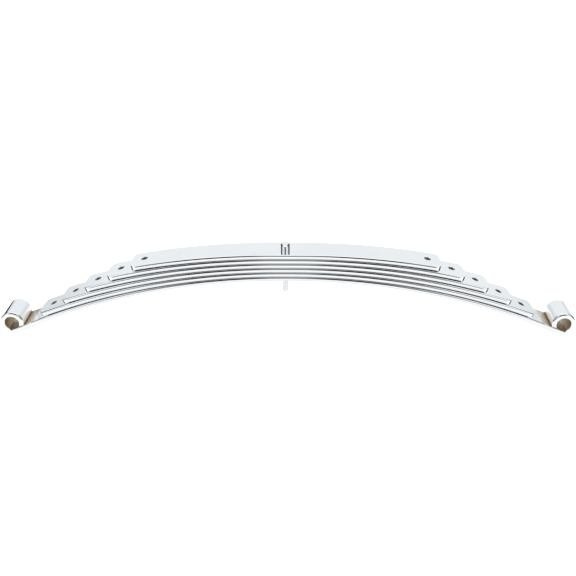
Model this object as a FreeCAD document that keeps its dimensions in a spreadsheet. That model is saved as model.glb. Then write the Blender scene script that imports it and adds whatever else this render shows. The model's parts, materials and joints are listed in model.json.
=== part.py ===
import FreeCAD, Part
import math
import os

import Sketcher
from FreeCAD import Placement, Rotation, Vector

# A six-leaf transverse spring for the front of a light car, standing on its two eyes.
# X runs from eye to eye, Y across the leaves and Z up. The origin is midway between the eyes, on the
# surface that they stand on. Leaf 1 is the main leaf, at the bottom, and leaf 6 is the shortest, on top.
#
# A leaf bends as three rigid links: a centre section and two arms. Each arm turns about a knuckle, a
# full-round end in a round seat, a quarter of the way out from the centre bolt. All knuckles of one side
# stand in a column, so the gaps between the arms stay open while they turn together.

LEAF_COUNT = 6
SIDES = {"left": -1, "right": 1}

SIZES = {
    # main dimensions
    "eye_spacing": 800.0,          # between the eyes' centres, spring unloaded
    "leaf_width": 44.45,
    "leaf_thickness": 6.75,
    "leaf_clearance": 0.1,         # between two leaves at the centre bolt
    "edge_round": 2.2,             # rounding along a leaf's sides
    "hinge_position": 100.0,       # from the centre bolt to the knuckles' axes
    "knuckle_clearance": 0.08,
    # each leaf is flat at the centre bolt and an arc beyond that
    "seat_base": 4.0,              # half length of the main leaf's flat
    "seat_step": 3.0,              # added for each leaf above it
    "radius_1": 932.0,             # radii of the leaves' mid surfaces
    "radius_2": 943.0,
    "radius_3": 957.0,
    "radius_4": 978.0,
    "radius_5": 1011.0,
    "radius_6": 1068.0,
    # tips of leaves 2 to 6
    "button_base": 340.0,          # from the centre bolt to leaf 2's buttons
    "button_step": 35.0,
    "tip_overhang": 19.5,          # leaf beyond the button's axis
    "tip_dome_radius": 70.0,
    "tip_corner_radius": 9.0,
    "cut_margin": 2.0,             # how far the tip's cutting outline reaches past the leaf
    # eyes
    "eye_radius": 10.32,           # bore
    "eye_run": 30.0,               # straight strip between the main leaf's arc and the eye's centre
    "eye_crease": 7.6,             # from the eye's centre out to the crease where the roll starts
    "eye_gap": 0.3,                # between the rolled end and the leaf
    "eye_lip": 4.2,                # from the eye's centre back to the rolled end's face
    "eye_wall_start": 36.0,        # degrees below the leaf's outward direction, where the bore turns round
    # slider buttons
    "button_hole_radius": 4.6,
    "button_stud_radius": 4.5,
    "button_stud_recess": 0.7,
    "button_dimple_radius": 1.5,
    "button_dimple_depth": 1.2,
    "button_pad_radius": 9.0,
    "button_pad_thickness": 0.95,
    "button_pad_seat": 0.06,       # pad to leaf, because the leaf's underside is hollow
    "button_pad_round": 0.4,
    # centre bolt and nut
    "bolt_hole_radius": 4.15,
    "bolt_radius": 3.97,
    "bolt_head_radius": 6.35,
    "bolt_head_height": 9.0,
    "bolt_head_chamfer": 0.8,
    "bolt_reach": 26.0,            # below the main leaf
    "bolt_point_chamfer": 0.9,
    "nut_flats": 12.7,
    "nut_height": 6.9,
    "nut_bore_radius": 4.0,
    "nut_face_radius": 6.1,        # flat ring under the nut, inside its chamfer
    "nut_cone_spread": 14.0,       # how much wider the chamfer's cone is at the nut's top
}

document = FreeCAD.newDocument("leaf_spring")
sheet = document.addObject("Spreadsheet::Sheet", "Dimensions")


def fill_sheet():
    for row, (name, number) in enumerate(SIZES.items(), start=1):
        sheet.set(f"A{row}", name)
        sheet.set(f"B{row}", str(number))
        sheet.setAlias(f"B{row}", name)
    document.recompute()


def size(name):
    return float(sheet.get(name))


def named(name):
    return f"Dimensions.{name}"


# ---- Leaf geometry ----


def leaf_radius(leaf):
    return size(f"radius_{leaf}")


def leaf_seat(leaf):
    return size("seat_base") + (leaf - 1) * size("seat_step")


def leaf_seat_text(leaf):
    return f"(Dimensions.seat_base + {leaf - 1} * Dimensions.seat_step)"


def button_position(leaf):
    return size("button_base") - (leaf - 2) * size("button_step")


def button_position_text(leaf):
    return f"(Dimensions.button_base - {leaf - 2} * Dimensions.button_step)"


def slope_at(leaf, distance):
    """Angle in degrees between leaf and horizontal at a distance from the centre bolt."""
    return math.degrees(math.asin((distance - leaf_seat(leaf)) / leaf_radius(leaf)))


def slope_text(leaf, distance_text):
    return f"asin(({distance_text} - {leaf_seat_text(leaf)}) / Dimensions.radius_{leaf})"


def eye_centre_offset():
    """From the main leaf's mid surface up to the eye's centre."""
    return size("eye_radius") + size("leaf_thickness") / 2


def eye_slope():
    """Slope of the main leaf at the end of its arc, which puts the eye's centre at half the spacing."""
    arm = leaf_radius(1) + eye_centre_offset()
    run = size("eye_run")
    reach = size("eye_spacing") / 2 - leaf_seat(1)
    return math.degrees(math.asin(reach / math.hypot(arm, run)) - math.atan(run / arm))


def eye_slope_text():
    arm = "(Dimensions.radius_1 + Dimensions.eye_radius + Dimensions.leaf_thickness / 2)"
    reach = f"(Dimensions.eye_spacing / 2 - {leaf_seat_text(1)})"
    return f"asin({reach} / hypot({arm}; Dimensions.eye_run)) - atan(Dimensions.eye_run / {arm})"


def main_leaf_height():
    """Height of the main leaf's mid surface at the bolt, with the eyes standing on Z = 0."""
    slope = math.radians(eye_slope())
    eye_height = size("eye_radius") + size("leaf_thickness")
    drop = leaf_radius(1) * (1 - math.cos(slope)) + size("eye_run") * math.sin(slope)
    return eye_height + drop - eye_centre_offset() * math.cos(slope)


def leaf_height(leaf):
    return main_leaf_height() + (leaf - 1) * (size("leaf_thickness") + size("leaf_clearance"))


def arm_placement(leaf, side, slope):
    """Frame at the centre of the leaf's arc, with Z through the leaf where it has this slope."""
    centre = Vector(leaf_seat(leaf), 0, leaf_height(leaf) - leaf_radius(leaf))
    right = Placement(centre, Rotation(Vector(0, 1, 0), slope))
    if side == "right":
        return right
    return Placement(Vector(), Rotation(Vector(0, 0, 1), 180)) * right


# ---- Sketch and feature helpers ----


def new_body(label, placement=Placement()):
    body = document.addObject("PartDesign::Body", label)
    body.Label = label
    body.Placement = placement
    return body


def origin_plane(body, role):
    for item in body.Origin.OriginFeatures:
        if item.Role == role:
            return item
    raise ValueError(role)


def new_sketch(body, name, role, offset=Vector()):
    sketch = body.newObject("Sketcher::SketchObject", name)
    sketch.AttachmentSupport = [(origin_plane(body, role), "")]
    sketch.MapMode = "FlatFace"
    sketch.AttachmentOffset = Placement(offset, Rotation())
    return sketch


def bind(sketch, kind, arguments, text):
    """Adds a dimension to a sketch and ties it to an expression."""
    index = sketch.addConstraint(Sketcher.Constraint(kind, *arguments))
    sketch.setExpression(f"Constraints[{index}]", text)


def pin_point(sketch, point, position, texts):
    """Fixes a point (geometry, end) of a sketch at a position given by two expressions."""
    directions = (("DistanceX", position[0], texts[0], -2), ("DistanceY", position[1], texts[1], -1))
    for kind, distance, text, axis in directions:
        if abs(distance) < 1e-9:
            sketch.addConstraint(Sketcher.Constraint("PointOnObject", *point, axis))
        elif distance > 0:
            bind(sketch, kind, (-1, 1, *point, distance), text)
        else:
            bind(sketch, kind, (*point, -1, 1, -distance), f"-({text})")


def circle_sketch(body, name, role, position, texts, radius, radius_text, offset=Vector()):
    sketch = new_sketch(body, name, role, offset)
    sketch.addGeometry(Part.Circle(Vector(*position, 0), Vector(0, 0, 1), radius))
    bind(sketch, "Radius", (0, radius), radius_text)
    pin_point(sketch, (0, 3), position, texts)
    return sketch


def polygon_sketch(body, name, role, corners):
    """Closed outline of straight lines. Each corner is ((x, y), (x expression, y expression))."""
    sketch = new_sketch(body, name, role)
    count = len(corners)
    for index in range(count):
        start = Vector(*corners[index][0], 0)
        end = Vector(*corners[(index + 1) % count][0], 0)
        sketch.addGeometry(Part.LineSegment(start, end))
    for index in range(count):
        sketch.addConstraint(Sketcher.Constraint("Coincident", index, 2, (index + 1) % count, 1))
    for index, (position, texts) in enumerate(corners):
        pin_point(sketch, (index, 1), position, texts)
    return sketch


def strip_section(body, name, height, height_text, offset=Vector()):
    """A leaf's cross-section, a flat bar with round edges, its middle at a height on the YZ plane."""
    side = size("leaf_width") / 2
    half = size("leaf_thickness") / 2
    rounding = size("edge_round")
    corners = ((1, -1), (1, 1), (-1, 1), (-1, -1))
    sketch = new_sketch(body, name, "YZ_Plane", offset)
    for index, (across, up) in enumerate(corners):
        centre = Vector(across * (side - rounding), height + up * (half - rounding), 0)
        start = math.radians(-90 + 90 * index)
        circle = Part.Circle(centre, Vector(0, 0, 1), rounding)
        sketch.addGeometry(Part.ArcOfCircle(circle, start, start + math.pi / 2))
    arcs = list(sketch.Geometry)
    for index in range(4):
        line = Part.LineSegment(arcs[index].EndPoint, arcs[(index + 1) % 4].StartPoint)
        sketch.addGeometry(line)
    for index in range(4):
        following = (index + 1) % 4
        sketch.addConstraint(Sketcher.Constraint("Tangent", index, 2, 4 + index, 1))
        sketch.addConstraint(Sketcher.Constraint("Tangent", 4 + index, 2, following, 1))
        direction = "Vertical" if index % 2 == 0 else "Horizontal"
        sketch.addConstraint(Sketcher.Constraint(direction, 4 + index))
    for index in (1, 2, 3):
        sketch.addConstraint(Sketcher.Constraint("Equal", 0, index))
    bind(sketch, "Radius", (0, rounding), named("edge_round"))
    bind(sketch, "DistanceX", (3, 1, 0, 2, 2 * side), named("leaf_width"))
    bind(sketch, "DistanceY", (0, 1, 1, 2, 2 * half), named("leaf_thickness"))
    bind(sketch, "DistanceX", (-1, 1, 0, 2, side), "Dimensions.leaf_width / 2")
    low = height - half
    low_text = f"{height_text} - Dimensions.leaf_thickness / 2"
    if low > 0:
        bind(sketch, "DistanceY", (-1, 1, 0, 1, low), low_text)
    else:
        bind(sketch, "DistanceY", (0, 1, -1, 1, -low), f"-({low_text})")
    return sketch


def pad(body, name, sketch, length, length_text, symmetric=False):
    feature = body.newObject("PartDesign::Pad", name)
    feature.Profile = sketch
    feature.Length = length
    feature.SideType = "Symmetric" if symmetric else "One side"
    feature.setExpression("Length", length_text)
    return feature


def pocket_through(body, name, sketch):
    feature = body.newObject("PartDesign::Pocket", name)
    feature.Profile = sketch
    feature.Type = "ThroughAll"
    feature.SideType = "Symmetric"
    return feature


def sweep_arc(body, name, sketch, angle_text, towards_centre, second_angle_text=None):
    """Turns a strip section about the arc's axis, into the curved part of a leaf."""
    feature = body.newObject("PartDesign::Revolution", name)
    feature.Profile = sketch
    feature.ReferenceAxis = (sketch, ["H_Axis"])
    feature.Reversed = towards_centre
    feature.setExpression("Angle", angle_text)
    if second_angle_text:
        feature.Type = "TwoAngles"
        feature.setExpression("Angle2", second_angle_text)
    return feature


def add_knuckle(body, angle, angle_text, leaf):
    """The full-round inner end of an arm, at an angle back along the leaf's arc."""
    radius = leaf_radius(leaf)
    turn = math.radians(angle)
    half = size("leaf_thickness") / 2
    position = (-radius * math.sin(turn), radius * math.cos(turn))
    radius_text = named(f"radius_{leaf}")
    texts = (f"-{radius_text} * sin({angle_text})", f"{radius_text} * cos({angle_text})")
    outline = circle_sketch(body, "knuckle_outline", "XZ_Plane", position, texts, half,
                            "Dimensions.leaf_thickness / 2")
    length = size("leaf_width") - 2 * size("edge_round")
    return pad(body, "knuckle", outline, length, "Dimensions.leaf_width - 2 * Dimensions.edge_round",
               symmetric=True)


# ---- Leaves ----


def leaf_name(leaf):
    return "main_leaf" if leaf == 1 else f"leaf_{leaf}"


def make_centre_section(leaf):
    """Flat seat at the bolt and the first stretch of both arcs, ending in the knuckles' round seats."""
    radius = leaf_radius(leaf)
    radius_text = named(f"radius_{leaf}")
    seat = leaf_seat(leaf)
    body = new_body(f"{leaf_name(leaf)}_centre", Placement(Vector(0, 0, leaf_height(leaf)), Rotation()))
    flat_section = strip_section(body, "flat_section", 0, "0")
    pad(body, "flat", flat_section, 2 * seat, f"2 * {leaf_seat_text(leaf)}", symmetric=True)

    seat_radius = size("leaf_thickness") / 2 + size("knuckle_clearance")
    seat_radius_text = "(Dimensions.leaf_thickness / 2 + Dimensions.knuckle_clearance)"
    lip_text = f"Dimensions.hinge_position - {seat_radius_text} / 2"
    turn = math.radians(slope_at(leaf, size("hinge_position")))
    hinge_text = slope_text(leaf, "Dimensions.hinge_position")
    for side, direction in SIDES.items():
        section = strip_section(body, f"{side}_section", radius, radius_text,
                                Vector(0, -radius, direction * seat))
        section.setExpression("AttachmentOffset.Base.y", f"-{radius_text}")
        section.setExpression("AttachmentOffset.Base.z", f"{direction} * {leaf_seat_text(leaf)}")
        sweep_arc(body, f"{side}_arc", section, slope_text(leaf, lip_text), direction < 0)
    for side, direction in SIDES.items():
        position = (direction * size("hinge_position"), -radius * (1 - math.cos(turn)))
        texts = (f"{direction} * Dimensions.hinge_position", f"-{radius_text} * (1 - cos({hinge_text}))")
        outline = circle_sketch(body, f"{side}_seat_outline", "XZ_Plane", position, texts, seat_radius,
                                seat_radius_text)
        pocket_through(body, f"{side}_seat", outline)
    hole = circle_sketch(body, "bolt_hole_outline", "XY_Plane", (0, 0), ("0", "0"),
                         size("bolt_hole_radius"), named("bolt_hole_radius"))
    pocket_through(body, "bolt_hole", hole)
    return body


def tip_corner_centre():
    """Centre (along, across) of a tip's round corner, which touches both the dome and the leaf's side."""
    across = size("leaf_width") / 2 - size("tip_corner_radius")
    reach = math.sqrt((size("tip_dome_radius") - size("tip_corner_radius")) ** 2 - across ** 2)
    return size("tip_overhang") - size("tip_dome_radius") + reach, across


def draw_tip(sketch):
    """Corner, dome and corner as edges 0 to 2, then the open box around them as edges 3 to 9."""
    side = size("leaf_width") / 2
    corner = size("tip_corner_radius")
    apex = size("tip_overhang")
    dome = size("tip_dome_radius")
    margin = size("cut_margin")
    along, across = tip_corner_centre()
    turn = math.atan2(across, along - (apex - dome))
    arcs = (
        ((along, across), corner, turn, math.pi / 2),
        ((apex - dome, 0), dome, -turn, turn),
        ((along, -across), corner, -math.pi / 2, -turn),
    )
    for centre, radius, start, end in arcs:
        circle = Part.Circle(Vector(*centre, 0), Vector(0, 0, 1), radius)
        sketch.addGeometry(Part.ArcOfCircle(circle, start, end))
    inner = along - margin
    outer = apex + margin
    path = ((along, -side), (inner, -side), (inner, -side - margin), (outer, -side - margin),
            (outer, side + margin), (inner, side + margin), (inner, side), (along, side))
    for start, end in zip(path, path[1:]):
        sketch.addGeometry(Part.LineSegment(Vector(*start, 0), Vector(*end, 0)))


def tip_sketch(body):
    """What is cut away outside a leaf's tip in plan: a shallow dome with two round corners."""
    side = size("leaf_width") / 2
    margin = size("cut_margin")
    dome = size("tip_dome_radius")
    sketch = new_sketch(body, "tip_outline", "XY_Plane")
    draw_tip(sketch)
    for contact in ((0, 1, 1, 2), (1, 1, 2, 2), (2, 1, 3, 1), (9, 2, 0, 2)):
        sketch.addConstraint(Sketcher.Constraint("Tangent", *contact))
    for index in range(3, 9):
        sketch.addConstraint(Sketcher.Constraint("Coincident", index, 2, index + 1, 1))
    for index in (3, 5, 7, 9):
        sketch.addConstraint(Sketcher.Constraint("Horizontal", index))
    for index in (4, 6, 8):
        sketch.addConstraint(Sketcher.Constraint("Vertical", index))
    for index in (0, 2):
        bind(sketch, "Radius", (index, size("tip_corner_radius")), named("tip_corner_radius"))
    bind(sketch, "Radius", (1, dome), named("tip_dome_radius"))
    pin_point(sketch, (1, 3), (size("tip_overhang") - dome, 0),
              ("Dimensions.tip_overhang - Dimensions.tip_dome_radius", "0"))
    bind(sketch, "DistanceY", (-1, 1, 9, 1, side), "Dimensions.leaf_width / 2")
    bind(sketch, "DistanceY", (3, 1, -1, 1, side), "Dimensions.leaf_width / 2")
    for kind, ends in (("DistanceX", (3, 2, 3, 1)), ("DistanceX", (9, 1, 9, 2)),
                       ("DistanceY", (4, 2, 4, 1)), ("DistanceY", (8, 2, 8, 1))):
        bind(sketch, kind, (*ends, margin), named("cut_margin"))
    bind(sketch, "DistanceX", (1, 3, 6, 1, dome + margin),
         "Dimensions.tip_dome_radius + Dimensions.cut_margin")
    return sketch


def make_arm(leaf, side):
    """Arm of leaves 2 to 6, from its knuckle to its tip. Its frame's Z runs through the button."""
    slope = slope_at(leaf, button_position(leaf))
    radius = leaf_radius(leaf)
    body = new_body(f"{leaf_name(leaf)}_{side}_arm", arm_placement(leaf, side, slope))
    section = strip_section(body, "section", radius, named(f"radius_{leaf}"))
    angle = slope - slope_at(leaf, size("hinge_position"))
    button_text = slope_text(leaf, button_position_text(leaf))
    hinge_text = slope_text(leaf, "Dimensions.hinge_position")
    angle_text = f"({button_text} - {hinge_text})"
    tip_text = f"(Dimensions.tip_overhang + Dimensions.cut_margin / 2) / Dimensions.radius_{leaf} * 1 rad"
    sweep_arc(body, "arc", section, angle_text, True, tip_text)
    add_knuckle(body, angle, angle_text, leaf)
    pocket_through(body, "tip", tip_sketch(body))
    hole = circle_sketch(body, "button_hole_outline", "XY_Plane", (0, 0), ("0", "0"),
                         size("button_hole_radius"), named("button_hole_radius"))
    pocket_through(body, "button_hole", hole)
    return body


def eye_points():
    """Corners of the eye's side view in drawing order, from the end of the main leaf's arc."""
    half = size("leaf_thickness") / 2
    bore = size("eye_radius")
    outer = bore + 2 * half
    along = size("eye_run")
    low = leaf_radius(1) - half
    high = leaf_radius(1) + half
    centre = high + bore
    wall_start = math.radians(size("eye_wall_start"))
    lip = size("eye_lip")
    end_drop = bore - size("eye_gap")
    return (
        (0, high),
        (along + size("eye_crease"), high),
        (along + bore * math.cos(wall_start), centre - bore * math.sin(wall_start)),
        (along - lip, centre - math.sqrt(bore ** 2 - lip ** 2)),
        (along - lip, centre - end_drop),
        (along - math.sqrt(outer ** 2 - end_drop ** 2), centre - end_drop),
        (along, low),
        (0, low),
    )


def draw_eye(sketch):
    """The outline's eight edges in order: the bore is edge 2 and the roll's outside is edge 5."""
    points = eye_points()
    centre = (size("eye_run"), leaf_radius(1) + eye_centre_offset())

    def direction(point):
        return math.atan2(point[1] - centre[1], point[0] - centre[0])

    def line(first, second):
        sketch.addGeometry(Part.LineSegment(Vector(*first, 0), Vector(*second, 0)))

    def arc(radius, first, second):
        circle = Part.Circle(Vector(*centre, 0), Vector(0, 0, 1), radius)
        sketch.addGeometry(Part.ArcOfCircle(circle, direction(first), direction(second) + 2 * math.pi))

    line(points[0], points[1])
    line(points[1], points[2])
    arc(size("eye_radius"), points[2], points[3])
    line(points[3], points[4])
    line(points[4], points[5])
    arc(size("eye_radius") + size("leaf_thickness"), points[6], points[5])
    line(points[6], points[7])
    line(points[7], points[0])


def eye_sketch(body):
    """Side view of the rolled eye with the straight strip that leads to it."""
    points = eye_points()
    run = size("eye_run")
    bore = size("eye_radius")
    centre = (run, leaf_radius(1) + eye_centre_offset())
    sketch = new_sketch(body, "eye_outline", "XZ_Plane")
    draw_eye(sketch)
    joints = ((0, 2, 1, 1), (1, 2, 2, 1), (2, 2, 3, 1), (3, 2, 4, 1), (4, 2, 5, 2), (6, 2, 7, 1),
              (7, 2, 0, 1), (2, 3, 5, 3))
    for joint in joints:
        sketch.addConstraint(Sketcher.Constraint("Coincident", *joint))
    sketch.addConstraint(Sketcher.Constraint("Tangent", 5, 1, 6, 1))
    for index in (0, 4, 6):
        sketch.addConstraint(Sketcher.Constraint("Horizontal", index))
    for index in (3, 7):
        sketch.addConstraint(Sketcher.Constraint("Vertical", index))
    top_text = "Dimensions.radius_1 + Dimensions.leaf_thickness / 2"
    pin_point(sketch, (0, 1), points[0], ("0", top_text))
    pin_point(sketch, (2, 3), centre, (named("eye_run"), f"{top_text} + Dimensions.eye_radius"))
    bind(sketch, "DistanceX", (0, 1, 0, 2, points[1][0]), "Dimensions.eye_run + Dimensions.eye_crease")
    bind(sketch, "Radius", (2, bore), named("eye_radius"))
    bind(sketch, "Radius", (5, bore + size("leaf_thickness")),
         "Dimensions.eye_radius + Dimensions.leaf_thickness")
    bind(sketch, "DistanceX", (2, 3, 2, 1, points[2][0] - run),
         "Dimensions.eye_radius * cos(Dimensions.eye_wall_start * 1 deg)")
    bind(sketch, "DistanceX", (2, 2, 2, 3, size("eye_lip")), named("eye_lip"))
    bind(sketch, "DistanceY", (3, 2, 2, 3, centre[1] - points[4][1]),
         "Dimensions.eye_radius - Dimensions.eye_gap")
    return sketch


def round_eye_sides(body, eye):
    """Rounds the roll's outside and both faces of the straight strip along the leaf's two sides."""
    document.recompute()
    half = size("leaf_thickness") / 2
    faces = (leaf_radius(1) - half, leaf_radius(1) + half)
    chosen = []
    for index, edge in enumerate(eye.Shape.Edges, start=1):
        box = edge.BoundBox
        along_side = box.YLength < 1e-4
        on_face = box.ZLength < 1e-4 and min(abs(box.ZMin - height) for height in faces) < 1e-4
        roll_outside = box.XLength > 2 * size("eye_radius")
        if along_side and (on_face or roll_outside):
            chosen.append(f"Edge{index}")
    rounding = body.newObject("PartDesign::Fillet", "eye_sides")
    rounding.Base = (eye, chosen)
    rounding.setExpression("Radius", named("edge_round"))


def make_main_arm(side):
    """Arm of the main leaf, from its knuckle to its eye. Its frame's Z stands on the end of the arc."""
    slope = eye_slope()
    body = new_body(f"{leaf_name(1)}_{side}_arm", arm_placement(1, side, slope))
    eye = pad(body, "eye", eye_sketch(body), size("leaf_width"), named("leaf_width"), symmetric=True)
    round_eye_sides(body, eye)
    section = strip_section(body, "section", leaf_radius(1), named("radius_1"))
    angle = slope - slope_at(1, size("hinge_position"))
    angle_text = f"({eye_slope_text()} - {slope_text(1, 'Dimensions.hinge_position')})"
    sweep_arc(body, "arc", section, angle_text, True)
    add_knuckle(body, angle, angle_text, 1)
    return body


# ---- Slider buttons ----


def button_drop():
    """From a leaf's mid surface down to its button's sliding face."""
    return size("leaf_thickness") / 2 + size("button_pad_seat") + size("button_pad_thickness")


def button_drop_text():
    return ("(Dimensions.leaf_thickness / 2 + Dimensions.button_pad_seat"
            " + Dimensions.button_pad_thickness)")


def button_disc(body, name, radius_name, length, length_text, leaf):
    """A disc that starts at the pad's sliding face and goes up."""
    sketch = circle_sketch(body, f"{name}_outline", "XY_Plane", (0, 0), ("0", "0"), size(radius_name),
                           named(radius_name), Vector(0, 0, leaf_radius(leaf) - button_drop()))
    sketch.setExpression("AttachmentOffset.Base.z", f"Dimensions.radius_{leaf} - {button_drop_text()}")
    return pad(body, name, sketch, length, length_text)


def make_button(leaf, side):
    """Round pad under a leaf's tip, held by a stud in the leaf's hole."""
    slope = slope_at(leaf, button_position(leaf))
    body = new_body(f"{leaf_name(leaf)}_{side}_button", arm_placement(leaf, side, slope))
    stud_top = size("leaf_thickness") / 2 - size("button_stud_recess")
    stud_top_text = "Dimensions.leaf_thickness / 2 - Dimensions.button_stud_recess"
    button_disc(body, "pad", "button_pad_radius", size("button_pad_thickness"),
                named("button_pad_thickness"), leaf)
    button_disc(body, "stud", "button_stud_radius", button_drop() + stud_top,
                f"{button_drop_text()} + {stud_top_text}", leaf)
    top = leaf_radius(leaf) + stud_top
    outline = circle_sketch(body, "dimple_outline", "XY_Plane", (0, 0), ("0", "0"),
                            size("button_dimple_radius"), named("button_dimple_radius"), Vector(0, 0, top))
    outline.setExpression("AttachmentOffset.Base.z", f"Dimensions.radius_{leaf} + {stud_top_text}")
    dimple = body.newObject("PartDesign::Pocket", "dimple")
    dimple.Profile = outline
    dimple.setExpression("Length", named("button_dimple_depth"))
    round_pad_rim(body, dimple, leaf_radius(leaf) - button_drop())
    return body


def round_pad_rim(body, feature, bottom):
    """Rounds the lower rim of a button's pad, so that it rides up on the leaf beneath."""
    document.recompute()
    rim = []
    for index, edge in enumerate(feature.Shape.Edges, start=1):
        box = edge.BoundBox
        if abs(box.XLength - 2 * size("button_pad_radius")) < 1e-3 and box.ZMax < bottom + 1e-3:
            rim.append(f"Edge{index}")
    rounding = body.newObject("PartDesign::Fillet", "pad_rim")
    rounding.Base = (feature, rim)
    rounding.setExpression("Radius", named("button_pad_round"))


# ---- Centre bolt ----


def make_bolt():
    """Round-headed bolt through all leaves, its head on the shortest leaf."""
    clamp = LEAF_COUNT * size("leaf_thickness") + (LEAF_COUNT - 1) * size("leaf_clearance")
    clamp_text = (f"({LEAF_COUNT} * Dimensions.leaf_thickness"
                  f" + {LEAF_COUNT - 1} * Dimensions.leaf_clearance)")
    head_seat = leaf_height(LEAF_COUNT) + size("leaf_thickness") / 2
    head = (size("bolt_head_radius"), "Dimensions.bolt_head_radius")
    shank = (size("bolt_radius"), "Dimensions.bolt_radius")
    top = (size("bolt_head_height"), "Dimensions.bolt_head_height")
    head_edge = (size("bolt_head_chamfer"), "Dimensions.bolt_head_chamfer")
    point_edge = (size("bolt_point_chamfer"), "Dimensions.bolt_point_chamfer")
    end = (-clamp - size("bolt_reach"), f"-({clamp_text} + Dimensions.bolt_reach)")
    corners = [
        ((0, top[0]), ("0", top[1])),
        ((0, end[0]), ("0", end[1])),
        ((shank[0] - point_edge[0], end[0]), (f"{shank[1]} - {point_edge[1]}", end[1])),
        ((shank[0], end[0] + point_edge[0]), (shank[1], f"{end[1]} + {point_edge[1]}")),
        ((shank[0], 0), (shank[1], "0")),
        ((head[0], 0), (head[1], "0")),
        ((head[0], top[0] - head_edge[0]), (head[1], f"{top[1]} - {head_edge[1]}")),
        ((head[0] - head_edge[0], top[0]), (f"{head[1]} - {head_edge[1]}", top[1])),
    ]
    body = new_body("centre_bolt", Placement(Vector(0, 0, head_seat), Rotation()))
    profile = polygon_sketch(body, "profile", "XZ_Plane", corners)
    turned = body.newObject("PartDesign::Revolution", "turned")
    turned.Profile = profile
    turned.ReferenceAxis = (profile, ["V_Axis"])
    turned.Angle = 360
    return body


def make_nut():
    """Hexagonal nut against the main leaf's underside, its lower corners chamfered."""
    prism = document.addObject("Part::Prism", "nut_hexagon")
    prism.Polygon = 6
    prism.setExpression("Circumradius", "Dimensions.nut_flats / sqrt(3)")
    prism.setExpression("Height", named("nut_height"))
    cone = document.addObject("Part::Cone", "nut_chamfer_cone")
    cone.setExpression("Height", named("nut_height"))
    cone.setExpression("Radius1", named("nut_face_radius"))
    cone.setExpression("Radius2", "Dimensions.nut_face_radius + Dimensions.nut_cone_spread")
    bore = document.addObject("Part::Cylinder", "nut_bore")
    bore.setExpression("Radius", named("nut_bore_radius"))
    bore.setExpression("Height", named("nut_height"))
    blank = document.addObject("Part::Common", "nut_blank")
    blank.Base = prism
    blank.Tool = cone
    nut = document.addObject("Part::Cut", "centre_bolt_nut")
    nut.Base = blank
    nut.Tool = bore
    nut.Label = "centre_bolt_nut"
    face = leaf_height(1) - size("leaf_thickness") / 2
    nut.Placement = Placement(Vector(0, 0, face - size("nut_height")), Rotation())
    return nut


# ---- Assembly, checks and export ----


def make_parts():
    parts = [make_centre_section(leaf) for leaf in range(1, LEAF_COUNT + 1)]
    parts += [make_main_arm(side) for side in SIDES]
    for leaf in range(2, LEAF_COUNT + 1):
        for side in SIDES:
            parts.append(make_arm(leaf, side))
            parts.append(make_button(leaf, side))
    parts.append(make_bolt())
    parts.append(make_nut())
    return parts


def check(parts):
    document.recompute()
    for item in document.Objects:
        if "Invalid" in item.State or "Error" in item.State:
            raise RuntimeError(f"{item.Label} failed: {item.State}")
    for part in parts:
        shape = part.Shape
        if shape.isNull() or not shape.isValid() or len(shape.Solids) != 1:
            raise RuntimeError(f"{part.Label} is not one valid solid")


def export(parts):
    os.makedirs("parts", exist_ok=True)
    for part in parts:
        part.Shape.exportStep(f"parts/{part.Label}.step")
        box = part.Shape.BoundBox
        print(f"{part.Label:24s} {part.Shape.Volume:10.1f} mm3"
              f"  X {box.XMin:8.2f} {box.XMax:8.2f}  Z {box.ZMin:7.2f} {box.ZMax:7.2f}")


fill_sheet()
spring = make_parts()
check(spring)
export(spring)
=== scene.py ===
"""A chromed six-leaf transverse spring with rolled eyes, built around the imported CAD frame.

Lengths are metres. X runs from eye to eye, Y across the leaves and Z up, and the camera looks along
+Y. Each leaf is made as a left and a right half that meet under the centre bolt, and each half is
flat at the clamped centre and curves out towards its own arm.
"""

import json
import math

import bmesh
import bpy
from mathutils import Matrix, Vector


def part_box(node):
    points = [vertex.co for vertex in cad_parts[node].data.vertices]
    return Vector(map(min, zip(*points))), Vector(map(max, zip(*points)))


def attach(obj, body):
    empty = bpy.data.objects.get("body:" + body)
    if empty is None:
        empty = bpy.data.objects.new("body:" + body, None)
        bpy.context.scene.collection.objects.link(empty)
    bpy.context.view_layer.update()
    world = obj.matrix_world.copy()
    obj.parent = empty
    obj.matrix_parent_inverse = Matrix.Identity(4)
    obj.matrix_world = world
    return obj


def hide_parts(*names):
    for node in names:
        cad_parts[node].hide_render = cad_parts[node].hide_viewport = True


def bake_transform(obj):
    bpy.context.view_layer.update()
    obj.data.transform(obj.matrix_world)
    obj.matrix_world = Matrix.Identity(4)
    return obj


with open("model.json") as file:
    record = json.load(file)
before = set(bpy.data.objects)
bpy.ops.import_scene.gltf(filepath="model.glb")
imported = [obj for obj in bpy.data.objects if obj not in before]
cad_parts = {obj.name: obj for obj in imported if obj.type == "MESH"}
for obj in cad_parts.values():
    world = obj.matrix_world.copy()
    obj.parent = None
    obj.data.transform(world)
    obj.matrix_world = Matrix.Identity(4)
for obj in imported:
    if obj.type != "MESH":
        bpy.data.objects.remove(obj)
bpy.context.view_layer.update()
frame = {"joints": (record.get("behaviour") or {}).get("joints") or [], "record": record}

MM = 0.001
SIDES = {"left": -1, "right": 1}
LEAVES = range(1, 7)
CENTRE_BODY = "clamped_centre"
HINGES = {joint["child"]: Vector(joint["pos_m"]) for joint in frame["joints"]}
MOUNTS = {mount["name"]: mount for mount in frame["record"]["mounts"]}

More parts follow.
